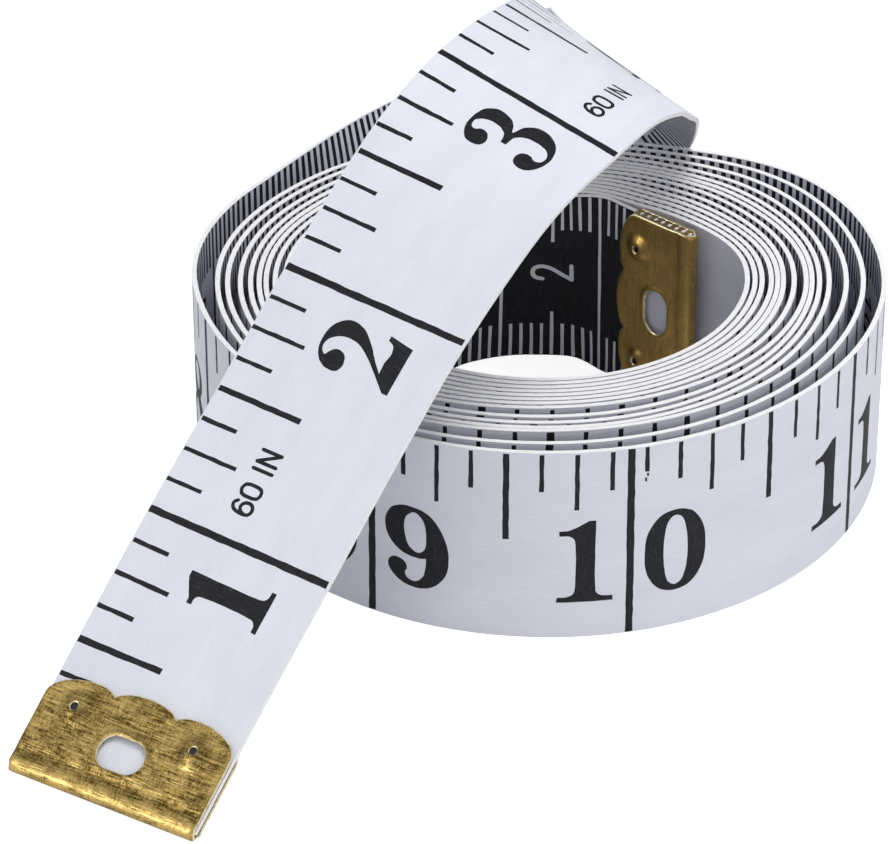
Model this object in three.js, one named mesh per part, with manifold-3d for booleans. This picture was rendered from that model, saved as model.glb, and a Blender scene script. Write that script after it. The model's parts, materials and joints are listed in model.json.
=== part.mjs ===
// Cloth tape measure: a loosely coiled sewing tape with a folded brass clip on each end. It lies
// on a table at Z = 0. The outer turn leaves the coil, loops over it and runs down to the table.
// Millimetres, +Z up. The routes are drawn about the centre of the coil's round front, and the
// finished group is moved so that the origin is the middle of the space that it covers.

import * as THREE from "three";
import { mergeVertices } from "three/addons/utils/BufferGeometryUtils.js";
import Module from "manifold-3d";

const wasm = await Module();
wasm.setup();

// The tape
const tapeWidth = 20;
const tapeThick = 0.45;

// The coil: its front radius, its hole as a share of it, and the least room between the turns
const coilRadius = 33.1;
const holeShare = 0.632;
const turnRoom = 0.42;
const stepsPerTurn = 40;
const turnPitch = tapeThick + turnRoom;
const turnCount = Math.round((1 - holeShare) * coilRadius / turnPitch);

// The brass clips
const sheetThick = 0.35;
const clipRoom = 0.2;
const clipSide = 6.8;
const lobeReach = 9.2;
const notchReach = 8.2;
const slotLength = 5;
const slotBreadth = 3.4;
const slotSetback = 3.8;
const dimpleSetback = 6.5;
const dimpleRadius = 1.5;
const dimpleHole = 0.5;
const dimpleHeight = 0.4;
const dimpleShoulderShare = 0.8;
const dimplePlaceShare = 0.325;
const rimEase = 0.9;
const cutOverrun = 1;

// Clear room between pieces that touch
const pieceGap = 0.3;

// The winding is a rounded oval, flattened at the back. Both tables go round it in steps of 30
// degrees from +X. The rim shares are of the coil radius, and a depth share says how much wider
// than the tightest winding the turns lie there.
const rimShares = [0.976, 0.94, 0.765, 0.695, 0.755, 0.845, 0.948, 0.992, 1, 1, 1, 0.994];
const depthShares = [1.14, 1.39, 1.09, 1.0, 1.05, 1.08, 1.09, 1.05, 1.02, 1.01, 1.03, 1.07];
// Room over the tightest winding opens towards the outer turns, as the tape springs out.
const loosenessShare = 0.7;
const loosenessPower = 5;
const coilStartDegrees = 225;

// The inner end turns back on itself and lies along the hole's back wall. Each row holds degrees
// round the hole and a share of the turn pitch, in from the innermost turn.
const doubledShares = [
  [151, 0], [159, 0.5], [166, 1.8], [170, 3.7], [166, 5.6], [156, 6.2],
  [142, 5], [124, 3.2], [105, 2], [90, 1.5], [75, 1.4],
];
// Its last stretch lies straight in the clip, about the middle of the line through these places.
const clipLineShares = [[60, 1.8], [17, 1.75]];
const straightSpare = 1.2;
const straightSteps = 4;
const doubledSteps = 72;

// The free stretch and its loop, from the tape's tip to the coil. Each row holds the tape's
// middle, in shares of the coil radius along X and Y and of the tape's width along Z, and then
// the way across the tape from its ticked edge to the other one.
const routeShares = [
  [-1.157, -1.8, 0.0205, 0.836, -0.548, 0],
  [-0.98, -1.535, 0.39, 0.83, -0.557, -0.005],
  [-0.803, -1.28, 0.785, 0.826, -0.563, -0.008],
  [-0.63, -1.036, 1.165, 0.812, -0.583, -0.01],
  [-0.453, -0.797, 1.55, 0.81, -0.585, -0.04],
  [-0.262, -0.547, 1.89, 0.82, -0.56, -0.11],
  [-0.16, -0.405, 2.005, 0.823, -0.54, -0.172],
  [-0.052, -0.258, 2.075, 0.815, -0.525, -0.237],
  [0.05, -0.1, 2.085, 0.807, -0.505, -0.303],
  [0.13, 0.06, 2.02, 0.806, -0.468, -0.361],
  [0.178, 0.22, 1.88, 0.797, -0.43, -0.42],
  [0.203, 0.378, 1.72, 0.806, -0.378, -0.437],
  [0.217, 0.745, 1.31, 0.75, -0.4, -0.52],
  [0.205, 0.87, 1.12, 0.652, -0.47, -0.592],
  [0.165, 0.945, 0.945, 0.53, -0.56, -0.64],
  [0.065, 1.01, 0.73, 0.45, -0.615, -0.652],
  [-0.085, 1.005, 0.58, 0.425, -0.59, -0.69],
  [-0.24, 0.94, 0.51, 0.385, -0.49, -0.782],
  [-0.39, 0.835, 0.497, 0.29, -0.35, -0.889],
  [-0.53, 0.714, 0.5, 0.17, -0.23, -0.958],
  [-0.665, 0.587, 0.502, 0.07, -0.11, -0.991],
  [-0.797, 0.45, 0.502, 0, -0.02, -1],
  [-0.908, 0.29, 0.5, 0, 0, -1],
  [-0.978, 0.11, 0.5, 0, 0, -1],
  [-0.999, -0.08, 0.5, 0, 0, -1],
  [-0.966, -0.276, 0.5, 0, 0, -1],
  [-0.896, -0.456, 0.5, 0, 0, -1],
  [-0.805, -0.601, 0.5, 0, 0, -1],
];
const hingeRow = 7;
const freeSteps = 30;
const loopSteps = 96;
// The loop's piece ends behind the coil, at this share of the way from its top to the coil.
const loopEndShare = 0.44;

// Corners nearer to each other than this share of the sheet are one corner.
const weldShare = 0.001;

const brass = new THREE.MeshStandardMaterial({ color: 0x83703f, roughness: 0.38, metalness: 1 });
const cloth = new THREE.MeshStandardMaterial({ color: 0xdcdde6, roughness: 0.6, metalness: 0 });

const circle = 2 * Math.PI;
const degree = Math.PI / 180;
const up = new THREE.Vector3(0, 0, 1);

// A value read between the rows of a closed table of equal steps
function roundTable(table, angle) {
  const place = ((angle / circle) % 1 + 1) % 1 * table.length;
  const row = Math.floor(place);
  const part = place - row;
  const [a, b, c, d] = [-1, 0, 1, 2].map((step) => table[(row + step + table.length) % table.length]);
  const slope = (c - a) / 2;
  const nextSlope = (d - b) / 2;
  const bend = 3 * (c - b) - 2 * slope - nextSlope;
  const twist = 2 * (b - c) + slope + nextSlope;
  return b + part * (slope + part * (bend + part * twist));
}

// Distance from the axis to the tape's middle, where outward runs from 0 at the hole to 1 outside
function windingRadius(angle, outward) {
  const spread = roundTable(depthShares, angle);
  const depth = turnCount * turnPitch * spread;
  const loose = (1 - 1 / spread) * loosenessShare;
  const risen = outward + loose * (outward ** loosenessPower - outward);
  return coilRadius * roundTable(rimShares, angle) - depth * (1 - risen);
}

function ringPlace(angle, radius) {
  return new THREE.Vector3(radius * Math.cos(angle), radius * Math.sin(angle), tapeWidth / 2);
}

// A station on the tape: its middle, the way along it and the way across from the ticked edge
function stations(middles, acrosses) {
  return middles.map((middle, i) => {
    const before = middles[Math.max(i - 1, 0)];
    const after = middles[Math.min(i + 1, middles.length - 1)];
    const along = after.clone().sub(before).normalize();
    const across = acrosses[i].clone().addScaledVector(along, -acrosses[i].dot(along)).normalize();
    return { middle, along, across, face: across.clone().cross(along) };
  });
}

// Stations at equal steps of a smooth curve through rows of middles and ways across
function smoothStations(middles, acrosses, steps) {
  const centre = new THREE.CatmullRomCurve3(middles);
  const side = new THREE.CatmullRomCurve3(
    middles.map((middle, i) => middle.clone().addScaledVector(acrosses[i], tapeWidth / 2)),
  );
  const points = [];
  const ways = [];
  for (let i = 0; i <= steps; i += 1) {
    const t = i / steps;
    points.push(centre.getPoint(t));
    ways.push(side.getPoint(t).sub(points[i]));
  }
  return stations(points, ways);
}

// The stretch of a row between two distances along it, with its ends cut square
function stretch(row, from, to) {
  const kept = [];
  let walked = 0;
  for (let i = 1; i < row.length; i += 1) {
    const [near, far] = [row[i - 1], row[i]];
    const step = near.middle.distanceTo(far.middle);
    const between = (distance) => {
      const part = (distance - walked) / step;
      const mix = (name) => near[name].clone().lerp(far[name], part);
      const middle = mix("middle");
      return { middle, along: mix("along"), across: mix("across"), face: mix("face") };
    };
    if (from >= walked && from < walked + step) kept.push(between(from));
    if (walked + step > from && walked + step < to) kept.push(far);
    if (to > walked && to <= walked + step) kept.push(between(to));
    walked += step;
  }
  return kept;
}

function rowLength(row) {
  return row.slice(1).reduce((sum, { middle }, i) => sum + middle.distanceTo(row[i].middle), 0);
}

// One closed band of the tape's own section along a row of stations
function band(row) {
  const corners = [];
  for (const { middle, across, face } of row) {
    for (const [side, skin] of [[-1, -1], [-1, 1], [1, 1], [1, -1]]) {
      const corner = middle.clone();
      corner.addScaledVector(across, side * tapeWidth / 2);
      corner.addScaledVector(face, skin * tapeThick / 2);
      corners.push(corner.x, corner.y, corner.z);
    }
  }
  const index = [];
  for (let i = 0; i < row.length - 1; i += 1) {
    for (let side = 0; side < 4; side += 1) {
      const a = 4 * i + side;
      const b = 4 * i + (side + 1) % 4;
      index.push(a, b, b + 4, a, b + 4, a + 4);
    }
  }
  const last = corners.length / 3 - 4;
  index.push(0, 2, 1, 0, 3, 2, last, last + 1, last + 2, last, last + 2, last + 3);
  const geometry = new THREE.BufferGeometry();
  geometry.setAttribute("position", new THREE.Float32BufferAttribute(corners, 3));
  geometry.setIndex(index);
  return geometry;
}

function toSolid(geometry) {
  const bare = geometry.clone();
  bare.deleteAttribute("normal");
  bare.deleteAttribute("uv");
  const merged = mergeVertices(bare, weldShare * sheetThick);
  return new wasm.Manifold(new wasm.Mesh({
    numProp: 3,
    vertProperties: Float32Array.from(merged.attributes.position.array),
    triVerts: Uint32Array.from(merged.index.array),
  }));
}

function toGeometry(solid) {
  const { vertProperties, triVerts } = solid.getMesh();
  const geometry = new THREE.BufferGeometry();
  geometry.setAttribute("position", new THREE.BufferAttribute(Float32Array.from(vertProperties), 3));
  geometry.setIndex(new THREE.BufferAttribute(Uint32Array.from(triVerts), 1));
  return geometry;
}

// A clip lies with its fold along Y at X = 0 and the tape between its leaves towards +X.
const leafGap = tapeThick + 2 * clipRoom;
const foldRadius = leafGap / 2 + sheetThick;
const notchPlace = tapeWidth / 6;
const dimplePlace = dimplePlaceShare * tapeWidth;
const arcSegments = 8;

// The leaf's outline: straight sides, then three rounded lobes that point along the tape
function leafOutline() {
  const half = tapeWidth / 2;
  const outline = new THREE.Shape();
  outline.moveTo(0, -half);
  outline.lineTo(clipSide, -half);
  outline.bezierCurveTo(lobeReach - rimEase / 2, -half + rimEase / 3, lobeReach + rimEase / 3,
    -notchPlace - rimEase, notchReach, -notchPlace);
  outline.bezierCurveTo(lobeReach + rimEase / 3, -notchPlace + rimEase, lobeReach + rimEase / 3,
    notchPlace - rimEase, notchReach, notchPlace);
  outline.bezierCurveTo(lobeReach + rimEase / 3, notchPlace + rimEase, lobeReach - rimEase / 2,
    half - rimEase / 3, clipSide, half);
  outline.lineTo(0, half);
  outline.closePath();
  return outline;
}

// The slot through both leaves, its long way across the tape
function slotOutline() {
  const end = (slotLength - slotBreadth) / 2;
  const slot = new THREE.Shape();
  slot.absarc(slotSetback, end, slotBreadth / 2, 0, Math.PI, false);
  slot.absarc(slotSetback, -end, slotBreadth / 2, Math.PI, circle, false);
  slot.closePath();
  return slot;
}

function plate(outline, low, high) {
  const geometry = new THREE.ExtrudeGeometry(outline, {
    depth: high - low, bevelEnabled: false, curveSegments: arcSegments,
  });
  return toSolid(geometry.translate(0, 0, low));
}

// The sheet bent round the tape's end, as a half tube along the fold
function foldSheet() {
  const bend = new THREE.Shape();
  bend.absarc(0, 0, foldRadius, Math.PI / 2, 3 * Math.PI / 2, false);
  bend.absarc(0, 0, leafGap / 2, 3 * Math.PI / 2, Math.PI / 2, true);
  bend.closePath();
  const geometry = new THREE.ExtrudeGeometry(bend, {
    depth: tapeWidth, bevelEnabled: false, curveSegments: arcSegments,
  });
  return toSolid(geometry.rotateX(Math.PI / 2).translate(0, tapeWidth / 2, 0));
}

// A dimple pressed up round its pierced hole
function dimple(place) {
  const seat = leafGap / 2 + sheetThick / 2;
  const profile = [
    [dimpleHole, seat],
    [dimpleRadius, seat],
    [dimpleRadius, seat + sheetThick / 2],
    [(dimpleRadius + dimpleHole) / 2, seat + sheetThick / 2 + dimpleShoulderShare * dimpleHeight],
    [dimpleHole, seat + sheetThick / 2 + dimpleHeight],
    [dimpleHole, seat],
  ].map(([radius, height]) => new THREE.Vector2(radius, height));
  const geometry = new THREE.LatheGeometry(profile, 2 * arcSegments).rotateX(Math.PI / 2);
  return toSolid(geometry.translate(dimpleSetback, place, 0));
}

function pierced(place) {
  const reach = foldRadius + dimpleHeight + cutOverrun;
  const hole = new THREE.CylinderGeometry(dimpleHole, dimpleHole, 2 * reach, arcSegments);
  return toSolid(hole.rotateX(Math.PI / 2).translate(dimpleSetback, place, 0));
}

function clipGeometry() {
  let solid = foldSheet();
  for (const side of [-1, 1]) {
    const low = side > 0 ? leafGap / 2 : -foldRadius;
    solid = solid.add(plate(leafOutline(), low, low + sheetThick));
  }
  for (const place of [-dimplePlace, dimplePlace]) {
    solid = solid.subtract(pierced(place));
    solid = solid.add(dimple(place));
  }
  const reach = foldRadius + cutOverrun;
  solid = solid.subtract(plate(slotOutline(), -reach, reach));
  return toGeometry(solid);
}

// A clip set on the tape's end: bend at the given place, X away from it along the tape, Z out of
// the printed face
function placedClip(name, middle, along, face) {
  const clip = new THREE.Mesh(clipGeometry(), brass);
  clip.name = name;
  const square = along.clone().cross(face).normalize();
  const turn = new THREE.Matrix4().makeBasis(along, square.clone().negate(), square.clone().cross(along));
  clip.quaternion.setFromRotationMatrix(turn);
  clip.position.copy(middle);
  return clip;
}

// The coil, from the outer turn in to the hole
const coilStart = coilStartDegrees * degree;
const holeStart = doubledShares[0][0] * degree;
const coilTurns = turnCount - 1 + (holeStart + circle - coilStart) / circle % 1;
const coilSteps = Math.round(coilTurns * stepsPerTurn);
const acrossCoil = up.clone().negate();

function coilPlace(turn) {
  const angle = coilStart + turn * circle;
  return ringPlace(angle, windingRadius(angle, 1 - turn / turnCount));
}

const coilMiddles = Array.from({ length: coilSteps + 1 }, (_, i) => coilPlace(i / coilSteps * coilTurns));
const coilRow = stations(coilMiddles, coilMiddles.map(() => acrossCoil));

// The inner end doubles back along the hole's wall, its far side against the innermost turn
function doubledPlace([degrees, share]) {
  const turn = coilTurns + (degrees * degree - holeStart) / circle;
  const angle = degrees * degree;
  return ringPlace(angle, windingRadius(angle, 1 - turn / turnCount) - share * turnPitch);
}

const [lineStart, lineEnd] = clipLineShares.map(doubledPlace);
const lineMiddle = lineStart.clone().lerp(lineEnd, 1 / 2);
const lineAlong = lineEnd.clone().sub(lineStart).normalize();
const straightLength = lobeReach + straightSpare;

function straightPlace(step) {
  return lineMiddle.clone().addScaledVector(lineAlong, (step / straightSteps - 1 / 2) * straightLength);
}

const doubledMiddles = doubledShares.map(doubledPlace);
for (let step = 0; step <= straightSteps; step += 1) doubledMiddles.push(straightPlace(step));
const doubledRow = smoothStations(doubledMiddles, doubledMiddles.map(() => acrossCoil), doubledSteps);

// The free stretch, its loop over the coil and the outermost turn that it becomes
const freeMiddles = routeShares.map(([x, y, z]) => new THREE.Vector3(
  x * coilRadius, y * coilRadius, z * tapeWidth,
));
const freeAcrosses = routeShares.map(([, , , x, y, z]) => new THREE.Vector3(x, y, z).normalize());
freeMiddles.push(coilMiddles[0]);
freeAcrosses.push(acrossCoil);
const freeRow = smoothStations(
  freeMiddles.slice(0, hingeRow + 1), freeAcrosses.slice(0, hingeRow + 1), freeSteps,
);
const loopRow = smoothStations(freeMiddles.slice(hingeRow), freeAcrosses.slice(hingeRow), loopSteps);
const hinge = loopRow[0];

// A clip bends round the tape's end, one fold radius in from where its route ends.
const tapeInset = foldRadius - leafGap / 2 + pieceGap;

function tape(name, row, from, to) {
  const mesh = new THREE.Mesh(band(stretch(row, from, to)), cloth);
  mesh.name = name;
  return mesh;
}

const cut = pieceGap / 2;
const windingRow = [...loopRow, ...coilRow.slice(1)];
const windingLength = rowLength(windingRow);
const doubledLength = rowLength(doubledRow);
const freeLength = rowLength(freeRow);
const loopEnd = loopEndShare * rowLength(loopRow);

const outerFold = stretch(freeRow, foldRadius, freeLength)[0];
const innerFold = stretch(doubledRow, 0, doubledLength - foldRadius).at(-1);
const innerFoldAlong = innerFold.along.clone().negate();

const measure = new THREE.Group();
measure.add(
  tape("tape_coil", windingRow, loopEnd + cut, windingLength - cut),
  tape("tape_inner_end", doubledRow, cut, doubledLength - tapeInset),
  placedClip("inner_end_clip", innerFold.middle, innerFoldAlong, innerFold.face),
  tape("tape_loop", windingRow, cut, loopEnd - cut),
  tape("tape_free_end", freeRow, tapeInset, freeLength - cut),
  placedClip("outer_end_clip", outerFold.middle, outerFold.along, outerFold.face),
);

// The least room between one turn and the next, point to point across the winding
function leastRoom(row) {
  let least = Infinity;
  for (let i = 0; i < row.length; i += 1) {
    for (let j = i + stepsPerTurn / 2; j < row.length - 1; j += 1) {
      const [a, b] = [row[j].middle, row[j + 1].middle];
      const edge = new THREE.Line3(a, b);
      const near = edge.closestPointToPoint(row[i].middle, true, new THREE.Vector3());
      least = Math.min(least, near.distanceTo(row[i].middle) - tapeThick);
    }
  }
  return least;
}

const box = new THREE.Box3().setFromObject(measure, true);
const centre = box.getCenter(new THREE.Vector3());
measure.position.set(-centre.x, -centre.y, -box.min.z);
measure.updateMatrixWorld(true);

const shown = (vector) => vector.toArray().map((value) => value.toFixed(4)).join(", ");
console.log("least room between turns", leastRoom(windingRow).toFixed(3), "mm");
console.log("tape length", (windingLength + doubledLength + freeLength).toFixed(1), "mm");
console.log("moved by", shown(measure.position));
console.log("hinge at", shown(hinge.middle.clone().add(measure.position)));
console.log("hinge axis", shown(hinge.across.clone().negate()));

// Two flat faces: the coil's lower edge, on which it stands, and the outer clip's upper leaf
const frontStep = Math.round(stepsPerTurn / 8);
const restPoint = coilMiddles[frontStep].clone().lerp(coilMiddles[frontStep + 1], 1 / 2).setZ(0);
const leafPoint = outerFold.middle.clone()
  .addScaledVector(outerFold.along, (slotSetback - slotBreadth / 2) / 2)
  .addScaledVector(outerFold.face, foldRadius);
console.log("rest point", shown(restPoint.add(measure.position)));
console.log("leaf point", shown(leafPoint.add(measure.position)), "facing", shown(outerFold.face));
console.log("size", shown(box.getSize(new THREE.Vector3())));

export default measure;
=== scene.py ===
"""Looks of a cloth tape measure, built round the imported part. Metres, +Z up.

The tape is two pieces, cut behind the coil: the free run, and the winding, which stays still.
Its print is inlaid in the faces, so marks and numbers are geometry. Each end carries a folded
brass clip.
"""

import json
import math
import random

import bmesh
import bpy
import numpy as np
from mathutils import Matrix, Vector
from mathutils.geometry import delaunay_2d_cdt


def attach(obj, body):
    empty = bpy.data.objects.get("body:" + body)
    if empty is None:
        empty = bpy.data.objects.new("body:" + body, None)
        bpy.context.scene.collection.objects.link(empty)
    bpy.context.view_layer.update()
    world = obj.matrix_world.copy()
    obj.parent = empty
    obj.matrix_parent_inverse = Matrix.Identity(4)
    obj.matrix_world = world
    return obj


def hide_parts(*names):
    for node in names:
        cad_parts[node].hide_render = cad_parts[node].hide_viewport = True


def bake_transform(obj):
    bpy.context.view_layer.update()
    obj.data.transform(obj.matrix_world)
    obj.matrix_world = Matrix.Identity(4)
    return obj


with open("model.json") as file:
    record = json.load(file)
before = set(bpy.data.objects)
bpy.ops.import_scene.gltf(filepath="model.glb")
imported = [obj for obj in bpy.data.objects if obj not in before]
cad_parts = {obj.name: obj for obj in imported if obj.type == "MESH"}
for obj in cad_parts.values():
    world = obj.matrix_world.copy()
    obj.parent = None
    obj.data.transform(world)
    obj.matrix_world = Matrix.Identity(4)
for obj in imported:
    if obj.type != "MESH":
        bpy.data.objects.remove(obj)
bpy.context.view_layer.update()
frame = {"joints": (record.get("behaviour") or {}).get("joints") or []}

mm = 0.001
inch = 25.4 * mm
rng = random.Random(5)
near_zero = 1e-9
weld = 1e-5

# The tape as the part has it, but with slightly thicker cloth
tape_width = 20 * mm
tape_thick = 0.47 * mm
coil_radius = 33.1 * mm
turn_count = 14
part_thick = 0.45 * mm
turn_room = 0.42 * mm
turn_pitch = part_thick + turn_room
coil_start = 225

# Shapes of the winding, every 30 degrees from +X: shares of the coil radius and of the depth
rim_shares = [0.976, 0.94, 0.765, 0.695, 0.755, 0.845, 0.948, 0.992, 1, 1, 1, 0.994]
depth_shares = [1.14, 1.39, 1.09, 1.0, 1.05, 1.08, 1.09, 1.05, 1.02, 1.01, 1.03, 1.07]
looseness_share = 0.7
looseness_power = 5

# The inner end, doubled back along the hole's wall: degrees and turn pitches in from the wall
doubled_rows = [
    (151, 0), (158, -0.1), (164, 0.5), (166.5, 1.5), (164, 2.4), (156, 2.5), (142, 1),
    (126, -0.9), (114, -1.4), (103, -1.75), (92, -1.85), (77, -1.65),
]
clip_line = [(60, -0.15), (17, 1.95)]
clip_reach = 9.2 * mm
clip_lean_degrees = 30
straight_spare = 2 * mm
straight_steps = 4

# The free run from the tip to the coil: shares of the coil radius along X and Y and of the tape's
# width along Z, the way across from the ticked edge, and the printed inches at its first rows
run_rows = [
    (-1.149, -1.817, 0.03, 0.838, -0.545, 0.03),
    (-0.98, -1.535, 0.39, 0.83, -0.557, 0.008),
    (-0.803, -1.28, 0.785, 0.826, -0.563, -0.008),
    (-0.63, -1.036, 1.165, 0.812, -0.583, -0.01),
    (-0.453, -0.797, 1.55, 0.81, -0.585, -0.04),
    (-0.262, -0.547, 1.89, 0.82, -0.56, -0.11),
    (-0.16, -0.405, 2.005, 0.823, -0.54, -0.172),
    (-0.052, -0.258, 2.075, 0.815, -0.525, -0.237),
    (0.051, -0.1, 2.095, 0.787, -0.572, -0.232),
    (0.129, 0.06, 2.018, 0.757, -0.61, -0.234),
    (0.171, 0.22, 1.868, 0.755, -0.603, -0.258),
    (0.193, 0.378, 1.71, 0.763, -0.571, -0.302),
    (0.208, 0.745, 1.28, 0.74, -0.44, -0.5),
    (0.205, 0.87, 1.12, 0.652, -0.47, -0.592),
    (0.165, 0.945, 0.945, 0.53, -0.56, -0.64),
    (0.065, 1.01, 0.73, 0.45, -0.615, -0.652),
    (-0.085, 1.005, 0.58, 0.425, -0.59, -0.69),
    (-0.24, 0.94, 0.51, 0.385, -0.49, -0.782),
    (-0.39, 0.835, 0.497, 0.29, -0.35, -0.889),
    (-0.53, 0.714, 0.5, 0.17, -0.23, -0.958),
    (-0.665, 0.587, 0.502, 0.07, -0.11, -0.991),
    (-0.797, 0.45, 0.502, 0, -0.02, -1),
    (-0.908, 0.29, 0.5, 0, 0, -1),
    (-0.978, 0.11, 0.5, 0, 0, -1),
    (-0.999, -0.08, 0.5, 0, 0, -1),
    (-0.966, -0.276, 0.5, 0, 0, -1),
    (-0.896, -0.456, 0.5, 0, 0, -1),
    (-0.805, -0.601, 0.5, 0, 0, -1),
]
run_inches = (0, 0.5, 1, 1.5, 2, 2.5, 2.75, 3, 3.25, 3.5)
hinge_row = 7
loop_end_share = 0.44

# The coil's centre comes from the joint, which lies on the run at its highest row.
hinge = Vector(frame["joints"][0]["pos_m"])
hinge_place = Vector(run_rows[hinge_row][:2]) * coil_radius
coil_centre = np.array([
    hinge.x - hinge_place.x,
    hinge.y - hinge_place.y,
    hinge.z - run_rows[hinge_row][2] * tape_width,
])


def round_table(table, degrees):
    """A closed table of equal steps, read between its rows on a smooth curve."""
    place = degrees / 360 % 1 * len(table)
    row = int(place)
    part = place - row
    a, b, c, d = (table[(row + step) % len(table)] for step in (-1, 0, 1, 2))
    slope, next_slope = (c - a) / 2, (d - b) / 2
    bend = 3 * (c - b) - 2 * slope - next_slope
    twist = 2 * (b - c) + slope + next_slope
    return b + part * (slope + part * (bend + part * twist))


def winding_radius(degrees, turn):
    """Distance from the coil's axis to the tape's middle, turns counted in from the outside."""
    spread = round_table(depth_shares, degrees)
    outward = 1 - turn / turn_count
    loose = (1 - 1 / spread) * looseness_share
    risen = outward + loose * (outward ** looseness_power - outward)
    depth = turn_count * turn_pitch * spread
    return coil_radius * round_table(rim_shares, degrees) - depth * (1 - risen)


# How far each turn lies outside its even place at five directions, in millimetres
slack_directions = (277, 350, 42, 78, 193)
slack_rows = [
    (0.38, 0.2, -0.5, -0.45, 0.1), (-0.32, -0.61, -0.55, -0.45, 0.2),
    (-1.52, -1.13, -0.75, -0.5, 0), (-1.18, -1.71, -0.8, -0.45, 0),
    (-1.1, -1.63, -0.65, -0.25, 0.13), (-1.22, -1.38, -0.3, 0.05, 0.4),
    (-1.84, -0.99, 0.05, 0.35, 0.45), (-1.66, -1.22, 0.15, 0.6, 0.4),
    (-1.44, -1.32, 0.05, 0.85, 0.35), (-1.22, -0.96, 0, 1.15, 0.25),
    (-0.99, -0.66, 0.15, 1.45, 0.15), (-0.77, -0.65, 0.3, 1.75, 0.05),
    (-0.55, -0.42, 0.45, 2.05, 0), (-0.32, -0.25, 0.6, 2.35, 0),
]
slack_knots = [(0, 0)]
for i, row in enumerate(slack_rows):
    for degrees, value in zip(slack_directions, row):
        slack_knots.append((i + (degrees - coil_start) % 360 / 360, value * mm))
slack_turns, slack_values = np.array(slack_knots).T
slack_fade = 0.04


def slack(turn):
    """The turn's distance outside its even place, eased from one known direction to the next."""
    after = int(np.clip(np.searchsorted(slack_turns, turn), 1, len(slack_turns) - 1))
    low, high = slack_turns[after - 1:after + 1]
    part = float(np.clip((turn - low) / (high - low), 0, 1))
    part = part * part * (3 - 2 * part)
    fade = min(1, max(0, (coil_turns - turn) / slack_fade))
    return fade * (slack_values[after - 1] * (1 - part) + slack_values[after] * part)


# The wall of the hole leans out towards the table at the back, and the outer turns at the front.
wall_lean = math.radians(7.5)
wall_lean_from, wall_lean_turns = 1, 12
wall_lean_middle, wall_lean_reach = 95, 80
front_lean = math.radians(1.1)
front_lean_middle, front_lean_reach, front_lean_turns = 280, 75, 3


def leaning(degrees, turn):
    """The way across, down and a little outwards."""
    def share(middle, reach):
        away = abs((degrees - middle + 180) % 360 - 180) / reach
        return math.cos(min(away, 1) * math.pi / 2) ** 2
    lean = wall_lean * share(wall_lean_middle, wall_lean_reach)
    lean *= min(1, max(0, (turn - wall_lean_from) / wall_lean_turns))
    front_share = max(0, 1 - turn / front_lean_turns)
    lean += front_lean * share(front_lean_middle, front_lean_reach) * front_share
    angle = math.radians(degrees)
    out = math.sin(lean)
    return np.array([out * math.cos(angle), out * math.sin(angle), -math.cos(lean)])


def ring_place(degrees, radius):
    angle = math.radians(degrees)
    return np.array([radius * math.cos(angle), radius * math.sin(angle), tape_width / 2])


def smooth(points, spans):
    """Points on a centripetal curve through the rows, spans[i] of them from row i to the next."""
    points = np.asarray(points, float)
    ends = np.vstack([2 * points[0] - points[1], points, 2 * points[-1] - points[-2]])
    out = []
    for i, count in enumerate(spans):
        p0, p1, p2, p3 = ends[i:i + 4]
        pairs = (p0, p1), (p1, p2), (p2, p3)
        t0, t1, t2 = (max(np.linalg.norm(b - a), near_zero) ** 0.5 for a, b in pairs)
        m1 = ((p1 - p0) / t0 - (p2 - p0) / (t0 + t1) + (p2 - p1) / t1) * t1
        m2 = ((p2 - p1) / t1 - (p3 - p1) / (t1 + t2) + (p3 - p2) / t2) * t1
        t = (np.arange(count) / count)[:, None]
        out.append(p1 + t * (m1 + t * (3 * (p2 - p1) - 2 * m1 - m2 + t * (2 * (p1 - p2) + m1 + m2))))
    out.append(points[-1:])
    return np.vstack(out)


# The whole tape's route, from its tip to its inner end
coil_turns = turn_count - 1 + (doubled_rows[0][0] - coil_start) % 360 / 360
coil_step = 7.5
coil_count = round(coil_turns * 360 / coil_step)
run_middles = [np.array([x * coil_radius, y * coil_radius, z * tape_width]) for x, y, z, *_ in run_rows]
run_acrosses = [np.array(row[3:6]) / np.linalg.norm(row[3:6]) for row in run_rows]
coil_middles, coil_acrosses = [], []
for i in range(coil_count + 1):
    turn = i / coil_count * coil_turns
    degrees = coil_start + 360 * turn
    coil_middles.append(ring_place(degrees, winding_radius(degrees, turn) + slack(turn)))
    coil_acrosses.append(leaning(degrees, turn))


def doubled_place(degrees, share):
    turn = coil_turns + (degrees - doubled_rows[0][0]) / 360
    return ring_place(degrees, winding_radius(degrees, turn) - share * turn_pitch)


doubled_middles = [doubled_place(*row) for row in doubled_rows[1:]]
doubled_acrosses = [leaning(degrees, coil_turns) for degrees, _ in doubled_rows[1:]]
line_start, line_end = (doubled_place(*row) for row in clip_line)
line_way = (line_end - line_start) / np.linalg.norm(line_end - line_start)
for step in range(straight_steps + 1):
    away = (step / straight_steps - 1 / 2) * (clip_reach + straight_spare)
    doubled_middles.append((line_start + line_end) / 2 + line_way * away)
    doubled_acrosses.append(leaning(clip_lean_degrees, coil_turns))

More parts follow.
